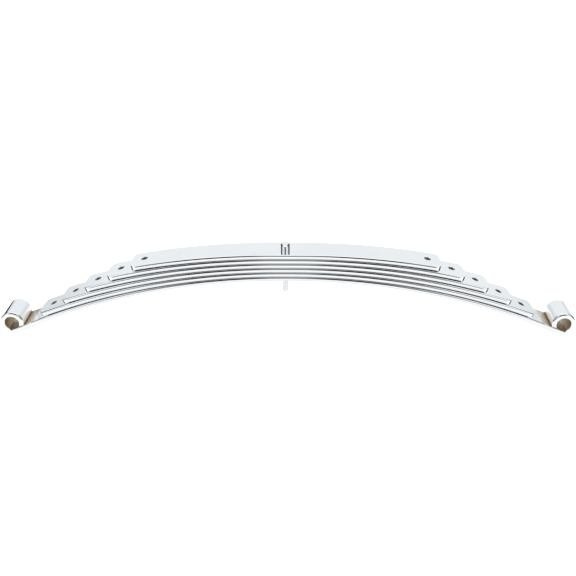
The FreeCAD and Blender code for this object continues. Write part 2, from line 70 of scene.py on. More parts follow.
# Sizes that the frame gives
centre_low, centre_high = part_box("main_leaf_centre")
nut_low, nut_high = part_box("centre_bolt_nut")
bolt_low, bolt_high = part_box("centre_bolt")
LEAF_WIDTH = centre_high.y - centre_low.y
LEAF_THICKNESS = centre_high.z - nut_high.z
LEAF_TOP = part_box("leaf_6_centre")[1].z
EYE_CENTRE_X = abs(MOUNTS["left_eye"]["pos_m"][0])
EYE_BORE = MOUNTS["left_eye"]["dims"]["r_mm"] * MM

# Driving sizes of the leaves
EDGE_ROUND = 2.2 * MM
SEAT_BASE = 4 * MM          # half length of the main leaf's flat under the centre bolt
SEAT_STEP = 3 * MM          # added for each leaf above it
BUTTON_BASE = 340 * MM      # from the centre bolt to leaf 2's buttons
BUTTON_STEP = 35 * MM
TIP_OVERHANG = 19.5 * MM    # leaf beyond its button's axis
TIP_DOME = 70 * MM
TIP_CORNER = 9 * MM
TIP_BEVEL = 0.45 * MM
BOLT_HOLE = 4.15 * MM
BUTTON_HOLE = 4.6 * MM
HOLE_BEVEL = 0.3 * MM

# Driving sizes of the eyes
EYE_RUN = 30 * MM           # straight strip between the main leaf's arc and the eye's centre
EYE_CREASE = 7.6 * MM       # from the eye's centre out to the crease where the roll starts
EYE_WALL_START = math.radians(-36)
EYE_GAP = 0.3 * MM
EYE_LIP = 4.2 * MM
EYE_RIM_ROUND = 0.7 * MM
RIM_FADE = 8 * MM           # before the eye's middle, where the leaf's rounding starts to shrink
RIM_RISE = 0.5 * MM         # the roll's outside has the small rounding once it has risen this far

# Bare nickel and painted shade in the eyes. Turns are degrees about the eye's centre
NICKEL_TURNS = (178, 206)
CREVICE_SHADE_TURNS = (207, 222)
END_TURN = 225              # the roll's end face starts
FOOT_TURN = 262             # the roll's end reaches the leaf
ROLL_SKIN = 1.5 * MM        # off the bore's wall, where the outside of the roll is told apart
BORE_FADE = (0.05 * MM, 0.6 * MM)
TOP_FADE = (0.6 * MM, 0.1 * MM)
LEAF_FADE = (7 * MM, 0.5 * MM)   # nickel on the leaf, up to the crevice's mouth
CREVICE_SHADE_RUN = 2 * MM
LIP_FADE = 3 * MM
BORE_FLOOR = 14 * MM        # the flat under the bore ends before this
# Share of painted shade that darkens the bore's colour
BORE_SHADE = 0.5

# Driving sizes of the bolt and its nut
HEAD_EDGE = 0.7 * MM
HEAD_FOOT = 0.25 * MM
HEAD_CAP = 0.55             # share of the head's radius that the inner ring of its top has
SHANK_RADIUS = 3.97 * MM
SHANK_HOLD = 1 * MM
THREAD_PITCH = 25.4 / 24 * MM
THREAD_DEPTH = 0.55 * MM
THREAD_LENGTH = 24 * MM
THREAD_RUNOUT = 2 * MM
THREAD_CHAMFER = 0.9 * MM
THREAD_FLANK = 1.6
THREAD_ROOT = 0.3
NUT_BORE = 4 * MM
NUT_SINK = 0.5 * MM
NUT_EDGE = 0.15 * MM
NUT_FACE = 0.25 * MM
NUT_CHAMFER = math.radians(28)

# Mesh density
PATCH = 8 * MM              # half side of the square of faces around a hole
PATCH_STEPS = 8
HOLD = 0.4 * MM             # narrow faces beside a rounding, which keep the flats flat
ROUND_STEPS = 8
CORNER_STEPS = 5
CORNER_SPREAD = math.radians(40)
STATION = 9 * MM            # distance between a leaf's cross-sections
EYE_STATION = 2 * MM
TIP_SHARES = (0.3, 0.6, 0.85, 0.96)
TIP_BEVEL_STEPS = 4
THICKEST_ROUND = 0.45       # share of the strip's thickness that one rounding may take
CREASE_STEPS = 4            # the roll, from below the eye's centre to the crease
WALL_STEPS = 3              # from the crease to the round wall
ROLL_STEPS = 44
LIP_STEPS = 7
BUTTON_SEGMENTS = 48
BOLT_SEGMENTS = 64
NUT_SEGMENTS = 96
THREAD_RINGS = 10           # in one turn of the thread
SHARP = math.radians(20)


class Leaf:
    """One half of a leaf: flat at the centre bolt, an arc, and on the main leaf a straight run."""

    def __init__(self, number, side):
        self.number = number
        self.name = "main_leaf" if number == 1 else f"leaf_{number}"
        self.sign = SIDES[side]
        self.body = f"{self.name}_{side}"
        self.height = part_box(f"{self.name}_centre")[1].z - LEAF_THICKNESS / 2
        self.seat = SEAT_BASE + (number - 1) * SEAT_STEP
        hinge = HINGES[self.body]
        reach = abs(hinge.x) - self.seat
        drop = self.height - hinge.z
        self.radius = (reach ** 2 + drop ** 2) / (2 * drop)
        self.slope_limit = self.eye_slope() if number == 1 else math.pi / 2

    def eye_slope(self):
        """Slope at the end of the arc that brings the eye's centre to its place."""
        arm = self.radius + LEAF_THICKNESS / 2 + EYE_BORE
        reach = EYE_CENTRE_X - self.seat
        return math.asin(reach / math.hypot(arm, EYE_RUN)) - math.atan(EYE_RUN / arm)

    def arc_end(self):
        return self.seat + self.radius * self.slope_limit

    def button_along(self):
        """Distance along the leaf from the bolt to its button's axis."""
        across_axis = BUTTON_BASE - (self.number - 2) * BUTTON_STEP
        return self.seat + self.radius * math.asin((across_axis - self.seat) / self.radius)

    def slope(self, along):
        return min(max(along - self.seat, 0) / self.radius, self.slope_limit)

    def place(self, along, across, up):
        """Point at a distance along the leaf, across it, and up from its mid surface."""
        slope = self.slope(along)
        straight = along - self.seat - self.radius * slope if along > self.seat else 0
        sine, cosine = math.sin(slope), math.cos(slope)
        x = min(along, self.seat) + (self.radius + up) * sine + straight * cosine
        z = self.height - self.radius + (self.radius + up) * cosine - straight * sine
        return Vector((self.sign * x, across, z))


class Shell:
    """Vertices and faces of one mesh, gathered ring by ring. A vertex carries two amounts: how much
    bare nickel shows there, and how much painted shade darkens its colour in a deep recess."""

    def __init__(self):
        self.points = []
        self.faces = []
        self.nickel = {}
        self.painted_shade = {}

    def add(self, points):
        first = len(self.points)
        self.points.extend(points)
        return list(range(first, len(self.points)))

    def strip(self, first, second, closed=True, skip=()):
        """Four-sided faces between two rows of vertices of the same length."""
        count = len(first)
        for i in range(count if closed else count - 1):
            if i not in skip:
                j = (i + 1) % count
                self.faces.append((first[i], first[j], second[j], second[i]))

    def face(self, loop):
        self.faces.append(tuple(loop))

    def fan(self, tip, loop):
        for i, vertex in enumerate(loop):
            self.faces.append((tip, vertex, loop[(i + 1) % len(loop)]))

    def build(self, name, material):
        mesh = bpy.data.meshes.new(name)
        mesh.from_pydata(self.points, [], self.faces)
        mesh.validate()
        turn_outward(mesh)
        rest = mesh.attributes.new("rest_place", "FLOAT_VECTOR", "POINT")
        for i, point in enumerate(self.points):
            rest.data[i].vector = point
        for label, amounts in (("nickel", self.nickel), ("painted_shade", self.painted_shade)):
            attribute = mesh.attributes.new(label, "FLOAT", "POINT")
            for i, amount in amounts.items():
                attribute.data[i].value = amount
        mesh.shade_smooth()
        mesh.set_sharp_from_angle(angle=SHARP)
        mesh.materials.append(material)
        piece = bpy.data.objects.new(name, mesh)
        bpy.context.scene.collection.objects.link(piece)
        return piece


def turn_outward(mesh):
    """Makes the faces point the same way, and out of the closed mesh."""
    work = bmesh.new()
    work.from_mesh(mesh)
    bmesh.ops.recalc_face_normals(work, faces=work.faces)
    if work.calc_volume(signed=True) < 0:
        bmesh.ops.reverse_faces(work, faces=work.faces)
    work.to_mesh(mesh)
    work.free()


# ---- Cross-sections of a strip ----


def across_lines(flat):
    """Where the lines along a strip run: evenly over the holes, the tip's corners and a hold."""
    holes = [PATCH * (2 * i / PATCH_STEPS - 1) for i in range(PATCH_STEPS + 1)]
    corner_middle = LEAF_WIDTH / 2 - TIP_CORNER
    turns = [CORNER_SPREAD * i / (CORNER_STEPS - 1) for i in range(CORNER_STEPS)]
    corners = [corner_middle + TIP_CORNER * math.sin(turn) for turn in turns]
    outer = [*corners, flat - HOLD, flat]
    return [-y for y in reversed(outer)] + holes + outer


LINES = len(across_lines(LEAF_WIDTH / 2 - EDGE_ROUND))
HOLE_FIRST = CORNER_STEPS + 2
HOLE_LINES = range(HOLE_FIRST, HOLE_FIRST + PATCH_STEPS + 1)
LOWER_FIRST = LINES + 2 * ROUND_STEPS


def section(top, bottom, top_round, bottom_round):
    """Outline of a strip as (across, up) points: top, right side, bottom and left side."""
    half = LEAF_WIDTH / 2
    upper = [(y, top) for y in across_lines(half - top_round)]
    lower = [(y, bottom) for y in reversed(across_lines(half - bottom_round))]
    turns = [math.pi / 2 * i / ROUND_STEPS for i in range(1, ROUND_STEPS + 1)]
    right = [(half - top_round * (1 - math.sin(t)), top - top_round * (1 - math.cos(t)))
             for t in turns]
    right += [(half - bottom_round * (1 - math.sin(t)), bottom + bottom_round * (1 - math.cos(t)))
              for t in reversed(turns)]
    left = [(-y, up) for y, up in reversed(right)]
    return upper + right + lower + left


def leaf_section():
    half = LEAF_THICKNESS / 2
    return section(half, -half, EDGE_ROUND, EDGE_ROUND)


def upper_chain(ring):
    """The ring's vertices over the top, from the leaf's one side to its other."""
    left = ring[LOWER_FIRST + LINES:]
    right = ring[LINES:LOWER_FIRST]
    return left[ROUND_STEPS:] + ring[:LINES] + right[:ROUND_STEPS]


def lower_chain(ring):
    left = ring[LOWER_FIRST + LINES:]
    right = ring[LINES:LOWER_FIRST]
    lower = ring[LOWER_FIRST:LOWER_FIRST + LINES]
    return left[ROUND_STEPS - 1::-1] + lower[::-1] + right[:ROUND_STEPS - 1:-1]


# ---- Holes ----


def around_square(near, far, one_side, other_side, whole):
    """The square's four rows as one loop, or as the three rows that a half hole has."""
    if whole:
        return near + other_side[1:] + far[-2::-1] + one_side[-2:0:-1]
    return one_side + far[1:] + other_side[-2::-1]


def hole_loops(rings, alongs, centre, whole):
    """The square loops of vertices around a hole on the top and the bottom, and the loop's plan."""
    loops = []
    for columns in (list(HOLE_LINES), [LOWER_FIRST + LINES - 1 - i for i in HOLE_LINES]):
        near = [rings[0][column] for column in columns]
        far = [rings[-1][column] for column in columns]
        one_side = [ring[columns[0]] for ring in rings]
        other_side = [ring[columns[-1]] for ring in rings]
        loops.append(around_square(near, far, one_side, other_side, whole))
    lines = across_lines(LEAF_WIDTH / 2 - EDGE_ROUND)
    places = [lines[i] for i in HOLE_LINES]
    away = [along - centre for along in alongs]
    near = [(away[0], y) for y in places]
    far = [(away[-1], y) for y in places]
    one_side = [(a, places[0]) for a in away]
    other_side = [(a, places[-1]) for a in away]
    return loops, around_square(near, far, one_side, other_side, whole)


def hole_face(shell, leaf, centre, radius, loop, plan, side, whole):
    """Faces from the square loop in to the bevelled hole. Returns the rows, from square to wall."""
    rim = radius + HOLE_BEVEL
    level = side * LEAF_THICKNESS / 2
    turns = [math.atan2(y, a) for a, y in plan]
    middle = [leaf.place(centre + (a + rim * math.cos(t)) / 2, (y + rim * math.sin(t)) / 2, level)
              for (a, y), t in zip(plan, turns)]
    rows = [loop, shell.add(middle)]
    for size, up in ((rim + HOLD, level), (rim, level), (radius, level - side * HOLE_BEVEL)):
        rows.append(shell.add([leaf.place(centre + size * math.cos(t), size * math.sin(t), up)
                               for t in turns]))
    for first, second in zip(rows, rows[1:]):
        shell.strip(first, second, closed=whole)
    return rows


def cut_hole(shell, leaf, rings, alongs, centre, radius, whole):
    loops, plan = hole_loops(rings, alongs, centre, whole)
    upper = hole_face(shell, leaf, centre, radius, loops[0], plan, 1, whole)
    lower = hole_face(shell, leaf, centre, radius, loops[1], plan, -1, whole)
    shell.strip(upper[-1], lower[-1], closed=whole)
    return upper, lower


def close_middle(shell, ring, upper, lower):
    """The two faces where the leaf's halves meet, one on each side of the bolt's hole."""
    first, last = HOLE_LINES[0], HOLE_LINES[-1]
    mirrored = LOWER_FIRST + LINES - 1
    right = ring[last:mirrored - last + 1]
    right += [row[-1] for row in lower[1:]] + [row[-1] for row in reversed(upper[1:])]
    left = ring[mirrored - first:] + ring[:first + 1]
    left += [row[0] for row in upper[1:]] + [row[0] for row in reversed(lower[1:])]
    shell.face(right)
    shell.face(left)


# ---- Leaves ----


def tip_corner_along():
    """From the button's axis to the middle of the tip's round corners."""
    across = LEAF_WIDTH / 2 - TIP_CORNER
    return TIP_OVERHANG - TIP_DOME + math.sqrt((TIP_DOME - TIP_CORNER) ** 2 - across ** 2)


def tip_outline(across):
    """The tip's reach beyond the button's axis, and the outline's direction, at a place across."""
    corner_along = tip_corner_along()
    corner_across = LEAF_WIDTH / 2 - TIP_CORNER
    dome_middle = TIP_OVERHANG - TIP_DOME
    turn = math.atan2(corner_across, corner_along - dome_middle)
    if abs(across) <= TIP_DOME * math.sin(turn):
        reach = dome_middle + math.sqrt(TIP_DOME ** 2 - across ** 2)
        return reach, (reach - dome_middle) / TIP_DOME, across / TIP_DOME
    beside = abs(across) - corner_across
    reach = corner_along + math.sqrt(max(TIP_CORNER ** 2 - beside ** 2, 0))
    return reach, (reach - corner_along) / TIP_CORNER, math.copysign(beside / TIP_CORNER, across)


def tip_ring(leaf, share, bevel_turn):
    """A cross-section whose middle runs ahead into the domed tip: share 0 is straight and 1 is the
    tip. bevel_turn is 0 at the foot of the tip's bevel and a quarter turn at its end."""
    button = leaf.button_along()
    points = []
    for across, up in leaf_section():
        reach, ahead, aside = tip_outline(across)
        bevel = TIP_BEVEL * ahead
        back = bevel * (1 - math.sin(bevel_turn))
        lowered = bevel * (1 - math.cos(bevel_turn))
        along = PATCH + share * (reach - ahead * back - PATCH)
        side = across - share * aside * back
        points.append(leaf.place(button + along, side, up - math.copysign(lowered, up)))
    return points


def close_tip(shell, leaf, ring):
    """Draws the strip out to its domed tip, bevels the edge and closes the end."""
    for share in TIP_SHARES:
        following = shell.add(tip_ring(leaf, share, 0))
        shell.strip(ring, following)
        ring = following
    for step in range(TIP_BEVEL_STEPS + 1):
        following = shell.add(tip_ring(leaf, 1, math.pi / 2 * step / TIP_BEVEL_STEPS))
        shell.strip(ring, following)
        ring = following
    shell.strip(upper_chain(ring), lower_chain(ring), closed=False)


def even_steps(start, end, step):
    """Distances from start to end, without start, about one step apart."""
    count = max(1, round((end - start) / step))
    return [start + (end - start) * i / count for i in range(1, count + 1)]


def straight_rings(shell, leaf, alongs):
    outline = leaf_section()
    return [shell.add([leaf.place(along, y, up) for y, up in outline]) for along in alongs]


def hole_columns():
    """Places in a ring whose faces lie over a hole's square."""
    upper = set(HOLE_LINES[:-1])
    lower = {LOWER_FIRST + LINES - 2 - i for i in upper}
    return upper | lower


def join_rings(shell, rings, skip=()):
    for first, second in zip(rings, rings[1:]):
        shell.strip(first, second, skip=skip)


def start_leaf(shell, leaf):
    """The stretch of a leaf around the bolt's half hole. Returns its last ring."""
    alongs = [PATCH * i / (PATCH_STEPS // 2) for i in range(PATCH_STEPS // 2 + 1)]
    rings = straight_rings(shell, leaf, alongs)
    join_rings(shell, rings, skip=hole_columns())
    upper, lower = cut_hole(shell, leaf, rings, alongs, 0, BOLT_HOLE, whole=False)
    close_middle(shell, rings[0], upper, lower)
    return rings[-1]


def make_upper_leaf(leaf, material):
    """One half of leaves 2 to 6, from the centre bolt to the domed tip."""
    shell = Shell()
    rings = [start_leaf(shell, leaf)]
    button = leaf.button_along()
    rings += straight_rings(shell, leaf, even_steps(PATCH, button - PATCH, STATION))
    join_rings(shell, rings)
    alongs = [button + PATCH * (2 * i / PATCH_STEPS - 1) for i in range(PATCH_STEPS + 1)]
    hole_rings = [rings[-1]] + straight_rings(shell, leaf, alongs[1:])
    join_rings(shell, hole_rings, skip=hole_columns())
    cut_hole(shell, leaf, hole_rings, alongs, button, BUTTON_HOLE, whole=True)
    close_tip(shell, leaf, hole_rings[-1])
    return shell.build(leaf.body, material)


# ---- The main leaf and its eyes ----
# In an eye's own frame a point is (along, up): along the straight run from the end of the leaf's
# arc, and up from the leaf's mid surface.


def mix(first, second, share):
    return first + (second - first) * share


def ease(value, start, end):
    """0 before start, 1 after end and smooth between them."""
    share = min(max((value - start) / (end - start), 0), 1)
    return share * share * (3 - 2 * share)


EYE_MIDDLE = Vector((EYE_RUN, LEAF_THICKNESS / 2 + EYE_BORE))
EYE_OUTER = EYE_BORE + LEAF_THICKNESS


def about_eye(radius, turn):
    return EYE_MIDDLE + radius * Vector((math.cos(turn), math.sin(turn)))


def eye_pairs():
    """The roll as pairs of points, on its outside and facing them on its inside."""
    half = LEAF_THICKNESS / 2
    crease = Vector((EYE_RUN + EYE_CREASE, half))
    crease_turn = math.atan2(-EYE_BORE, EYE_CREASE)
    pairs = []
    for i in range(1, CREASE_STEPS + 1):
        outer = about_eye(EYE_OUTER, mix(-math.pi / 2, crease_turn, i / CREASE_STEPS))
        pairs.append((outer, Vector((EYE_RUN + EYE_CREASE * i / CREASE_STEPS, half))))
    wall = about_eye(EYE_BORE, EYE_WALL_START)
    for i in range(1, WALL_STEPS + 1):
        outer = about_eye(EYE_OUTER, mix(crease_turn, EYE_WALL_START, i / WALL_STEPS))
        pairs.append((outer, crease.lerp(wall, i / WALL_STEPS)))
    end_drop = EYE_BORE - EYE_GAP
    roll_end = 1.5 * math.pi - math.acos(end_drop / EYE_OUTER)
    for i in range(1, ROLL_STEPS + 1):
        turn = mix(EYE_WALL_START, roll_end, i / ROLL_STEPS)
        pairs.append((about_eye(EYE_OUTER, turn), about_eye(EYE_BORE, turn)))
    bore_end = 1.5 * math.pi - math.asin(EYE_LIP / EYE_BORE)
    foot = EYE_MIDDLE + Vector((-EYE_LIP, -end_drop))
    for i in range(1, LIP_STEPS + 1):
        inner = about_eye(EYE_BORE, mix(roll_end, bore_end, i / LIP_STEPS))
        pairs.append((about_eye(EYE_OUTER, roll_end).lerp(foot, i / LIP_STEPS), inner))
    return pairs


def eye_ring(leaf, outer, inner, rim_round):
    """A cross-section of the roll, as points in space and the same points in the eye's frame."""
    thickness = (inner - outer).length
    direction = (inner - outer) / thickness
    limit = THICKEST_ROUND * thickness
    outline = section(thickness, 0, min(rim_round, limit), min(EDGE_ROUND, limit))
    flat_places = [outer + direction * up for _, up in outline]
    start = leaf.arc_end()
    points = [leaf.place(start + place.x, across, place.y)
              for place, (across, _) in zip(flat_places, outline)]
    return points, flat_places


def recess(place, across):
    """How much bare nickel and painted shade a point of the eye's frame gets, in the bore and the
    crevice.
    """
    from_middle = place - EYE_MIDDLE
    distance = from_middle.length
    turn = math.degrees(math.atan2(from_middle.y, from_middle.x)) % 360
    half = LEAF_THICKNESS / 2
    lip = EYE_RUN - EYE_LIP
    mouth = EYE_RUN - math.sqrt(EYE_OUTER ** 2 - EYE_BORE ** 2)
    side = LEAF_WIDTH / 2
    flat = 1 - ease(abs(across), side - EDGE_ROUND, side - EDGE_ROUND / 2)
    top_face = ease(place.y, half - TOP_FADE[0], half - TOP_FADE[1])
    top_face *= place.y < half + TOP_FADE[1]
    roll = (turn < FOOT_TURN) * (distance > EYE_BORE + ROLL_SKIN)
    in_bore = 1 - ease(distance, EYE_BORE + BORE_FADE[0], EYE_BORE + BORE_FADE[1])
    under_bore = ease(place.x, lip - LIP_FADE, lip) * (place.x < EYE_RUN + BORE_FLOOR) * top_face
    on_end = (END_TURN < turn < FOOT_TURN) * (place.y > half)
    on_roll = ease(turn, *NICKEL_TURNS) * roll
    on_leaf = ease(place.x, mouth - LEAF_FADE[0], mouth - LEAF_FADE[1])
    on_leaf *= (place.x < EYE_RUN) * top_face
    nickel = max(in_bore, on_end, max(on_roll, on_leaf, under_bore) * flat)
    # Painted shade: the roll's inside near the crevice, the leaf at the crevice's mouth and the
    # bore are darkened in colour
    roll_crevice_shade = ease(turn, *CREVICE_SHADE_TURNS) * roll
    leaf_crevice_shade = ease(place.x, mouth - LEAF_FADE[1], mouth + CREVICE_SHADE_RUN) * (place.x < lip) * top_face
    painted_bore_shade = BORE_SHADE * max(in_bore, on_end, under_bore)
    return nickel, max(max(roll_crevice_shade, leaf_crevice_shade) * flat, painted_bore_shade)


# Stores on each vertex its bare nickel and its painted shade.
def mark(shell, ring, places):
    for vertex, place in zip(ring, places):
        nickel, painted_shade = recess(place, shell.points[vertex].y)
        if nickel > 0:
            shell.nickel[vertex] = nickel
        if painted_shade > 0:
            shell.painted_shade[vertex] = painted_shade


def make_main_leaf(leaf, material):
    """One half of the main leaf, from the centre bolt over the straight run into the rolled eye."""
    shell = Shell()
    rings = [start_leaf(shell, leaf)]
    rings += straight_rings(shell, leaf, even_steps(PATCH, leaf.arc_end(), STATION))
    join_rings(shell, rings)
    ring = rings[-1]
    half = LEAF_THICKNESS / 2
    run = [(Vector((a, -half)), Vector((a, half))) for a in even_steps(0, EYE_RUN, EYE_STATION)]
    for outer, inner in run + eye_pairs():
        shrunk = ease(inner.x, EYE_RUN - RIM_FADE, EYE_RUN + EYE_CREASE)
        rim_round = mix(EDGE_ROUND, EYE_RIM_ROUND, shrunk)
        if outer.y > -half + RIM_RISE:
            rim_round = EYE_RIM_ROUND
        points, places = eye_ring(leaf, outer, inner, rim_round)
        following = shell.add(points)
        mark(shell, following, places)
        shell.strip(ring, following)
        ring = following
    shell.face(ring)
    return shell.build(leaf.body, material)


# ---- Turned pieces ----


def circle(segments):
    return [2 * math.pi * i / segments for i in range(segments)]


def quarter(radius, height, size, start, steps=4):
    """A quarter round of a turned profile about (radius, height), from an angle in degrees down."""
    turns = [math.radians(start - 90 * i / steps) for i in range(steps + 1)]
    return [(radius + size * math.cos(t), height + size * math.sin(t)) for t in turns]


def turned_shell(profile, place, segments):
    """A closed shell from a profile of (radius, height) points that starts and ends on the axis."""
    shell = Shell()
    turns = circle(segments)
    top = shell.add([place(0, 0, profile[0][1])])[0]
    rings = [shell.add([place(radius * math.cos(t), radius * math.sin(t), height) for t in turns])
             for radius, height in profile[1:-1]]
    bottom = shell.add([place(0, 0, profile[-1][1])])[0]
    shell.fan(top, rings[0])
    for first, second in zip(rings, rings[1:]):
        shell.strip(first, second)
    shell.fan(bottom, rings[-1])
    return shell


def make_button(leaf, material):
    """Nylon slider: a round pad under the leaf's tip, and a dimpled stud in the leaf's hole."""
    pad, stud, dimple = 9 * MM, 4.4 * MM, 1.5 * MM
    pad_thickness, pad_gap = 0.95 * MM, 0.06 * MM
    pad_rim, pad_edge = 0.35 * MM, 0.2 * MM
    stud_recess, stud_rim, stud_foot = 0.1 * MM, 0.5 * MM, 0.2 * MM
    dimple_depth, dimple_rim, dimple_foot = 1.2 * MM, 0.25 * MM, 0.4 * MM
    half = LEAF_THICKNESS / 2
    pad_top = -half - pad_gap
    pad_low = pad_top - pad_thickness
    top = half - stud_recess
    floor = top - dimple_depth
    profile = [(0, floor), (dimple - dimple_foot, floor), (dimple, floor + dimple_foot),
               (dimple, top - dimple_rim), (dimple + dimple_rim, top)]
    profile += quarter(stud - stud_rim, top - stud_rim, stud_rim, 90)
    profile += [(stud, pad_top + stud_foot), (stud + stud_foot, pad_top)]
    profile += quarter(pad - pad_edge, pad_top - pad_edge, pad_edge, 90)
    profile += quarter(pad - pad_rim, pad_low + pad_rim, pad_rim, 0)
    profile.append((0, pad_low))
    button = leaf.button_along()

    def place(a, y, up):
        return leaf.place(button + a, y, up)

    shell = turned_shell(profile, place, BUTTON_SEGMENTS)
    return shell.build(f"{leaf.body}_button", material)


def thread_radius(turn, height):
    """Radius of the shank at an angle and a height: threaded at its lower end and plain above."""
    above = height - bolt_low.z
    phase = (height / THREAD_PITCH - turn / (2 * math.pi)) % 1
    flank = min(max(abs(2 * phase - 1) * THREAD_FLANK - THREAD_ROOT, 0), 1)
    depth = THREAD_DEPTH * (1 - ease(above, THREAD_LENGTH - THREAD_RUNOUT, THREAD_LENGTH))
    chamfer = max(0, THREAD_CHAMFER - above)
    return SHANK_RADIUS - max(depth * (1 - flank), chamfer)


def make_bolt(material):
    """Round-headed centre bolt with a fine thread on its lower end."""
    turns = circle(BOLT_SEGMENTS)
    head = bolt_high.x
    top = bolt_high.z
    thread_top = bolt_low.z + THREAD_LENGTH
    profile = [(head * HEAD_CAP, top), (head - HEAD_EDGE - HOLD, top)]
    profile += quarter(head - HEAD_EDGE, top - HEAD_EDGE, HEAD_EDGE, 90, 6)
    profile += [(head, LEAF_TOP + HEAD_FOOT), (head - HEAD_FOOT, LEAF_TOP),
                (SHANK_RADIUS, LEAF_TOP), (SHANK_RADIUS, thread_top + SHANK_HOLD)]
    shell = Shell()
    rings = [shell.add([Vector((r * math.cos(t), r * math.sin(t), z)) for t in turns])
             for r, z in profile]
    count = round(THREAD_LENGTH / THREAD_PITCH * THREAD_RINGS)
    for i in range(count + 1):
        z = mix(thread_top, bolt_low.z, i / count)
        radii = [thread_radius(t, z) for t in turns]
        rings.append(shell.add([Vector((r * math.cos(t), r * math.sin(t), z))
                                for r, t in zip(radii, turns)]))
    for first, second in zip(rings, rings[1:]):
        shell.strip(first, second)
    shell.fan(shell.add([Vector((0, 0, top))])[0], rings[0])
    shell.fan(shell.add([Vector((0, 0, bolt_low.z))])[0], rings[-1])
    return shell.build("centre_bolt_piece", material)


def make_nut(material):
    """Hexagonal nut with chamfered lower corners and a countersunk bore."""
    turns = circle(NUT_SEGMENTS)
    flats = nut_high.y
    face = flats - NUT_FACE
    corner = [flats / math.cos(turn % (math.pi / 3) - math.pi / 6) for turn in turns]
    shell = Shell()

    def ring(radii, heights):
        return shell.add([Vector((r * math.cos(t), r * math.sin(t), z))
                          for t, r, z in zip(turns, radii, heights)])

    def level(radius, height):
        return ring([radius] * NUT_SEGMENTS, [height] * NUT_SEGMENTS)

    rings = [
        level(NUT_BORE, nut_high.z - NUT_SINK),
        level(NUT_BORE + NUT_SINK, nut_high.z),
        ring([r - NUT_EDGE for r in corner], [nut_high.z] * NUT_SEGMENTS),
        ring(corner, [nut_high.z - NUT_EDGE] * NUT_SEGMENTS),
        ring(corner, [nut_low.z + max(0, r - face) * math.tan(NUT_CHAMFER) for r in corner]),
        level(face, nut_low.z),
        level(NUT_BORE + NUT_SINK, nut_low.z),
        level(NUT_BORE, nut_low.z + NUT_SINK),
    ]
    for first, second in zip(rings, rings[1:] + rings[:1]):
        shell.strip(first, second)
    return shell.build("centre_bolt_nut_piece", material)


# ---- Materials ----


class Nodes:
    """Short calls for building a material's node tree."""

    def __init__(self, name):
        self.material = bpy.data.materials.new(name)
        self.material.use_nodes = True
        self.tree = self.material.node_tree
        self.shader = self.tree.nodes["Principled BSDF"]

    def link(self, source, target):
        self.tree.links.new(source, target)

    def attribute(self, name, output):
        node = self.tree.nodes.new("ShaderNodeAttribute")
        node.attribute_name = name
        return node.outputs[output]

    def noise(self, vector, scale, detail, stretch=(1, 1, 1)):
        mapping = self.tree.nodes.new("ShaderNodeMapping")
        mapping.inputs["Scale"].default_value = stretch
        self.link(vector, mapping.inputs["Vector"])
        node = self.tree.nodes.new("ShaderNodeTexNoise")
        node.inputs["Scale"].default_value = scale
        node.inputs["Detail"].default_value = detail
        self.link(mapping.outputs["Vector"], node.inputs["Vector"])
        return node.outputs["Fac"]

    def range(self, value, low, high, to_low, to_high):
        node = self.tree.nodes.new("ShaderNodeMapRange")
        limits = {"From Min": low, "From Max": high, "To Min": to_low, "To Max": to_high}
        for label, amount in limits.items():
            node.inputs[label].default_value = amount
        self.link(value, node.inputs["Value"])
        return node.outputs["Result"]

    def math(self, operation, first, second):
        node = self.tree.nodes.new("ShaderNodeMath")
        node.operation = operation
        for socket, value in zip(node.inputs, (first, second)):
            if isinstance(value, (int, float)):
                socket.default_value = value
            else:
                self.link(value, socket)
        return node.outputs["Value"]

    def blend_colours(self, amount, first, second):
        node = self.tree.nodes.new("ShaderNodeMix")
        node.data_type = "RGBA"
        self.link(amount, node.inputs["Factor"])
        for socket, colour in ((node.inputs[6], first), (node.inputs[7], second)):
            if isinstance(colour, tuple):
                socket.default_value = (*colour, 1)
            else:
                self.link(colour, socket)
        return node.outputs[2]

    def bump(self, heights, distance, strength):
        node = self.tree.nodes.new("ShaderNodeBump")
        node.inputs["Distance"].default_value = distance
        node.inputs["Strength"].default_value = strength
        self.link(heights, node.inputs["Height"])
        self.link(node.outputs["Normal"], self.shader.inputs["Normal"])


CHROME = (0.93, 0.945, 0.96)
CHROME_HAZE = (0.90, 0.918, 0.935)
NICKEL = (0.90, 0.83, 0.74)
NICKEL_DULL = (0.80, 0.72, 0.62)
# Painted shade: the bore's nickel darkened to a deeper tan, and the crevice near black
BORE_NICKEL_PAINTED_SHADE = (0.60, 0.50, 0.385)
CREVICE_PAINTED_SHADE = (0.09, 0.055, 0.025)
NYLON = (0.014, 0.014, 0.016)
NYLON_SCUFF = (0.04, 0.04, 0.043)
NYLON_IOR = 1.5
CHROME_ROUGHNESS = 0.012
BOLT_ROUGHNESS = 0.03
RECESS_ROUGHNESS = 0.3      # added in full nickel, and again in full shade
CHROME_BUMP = 0.004 * MM
NYLON_BUMP = 0.02 * MM
BUMP_STRENGTH = 0.5

# Noise scales, in waves a metre
PEEL_SCALE = 260
MARK_SCALE = 900
MARK_STRETCH = (0.03, 1, 1)     # polishing marks run along the leaf
HAZE_SCALE = 22
NICKEL_SCALE = 340
GRAIN_SCALE = 2600
SCUFF_SCALE = 420


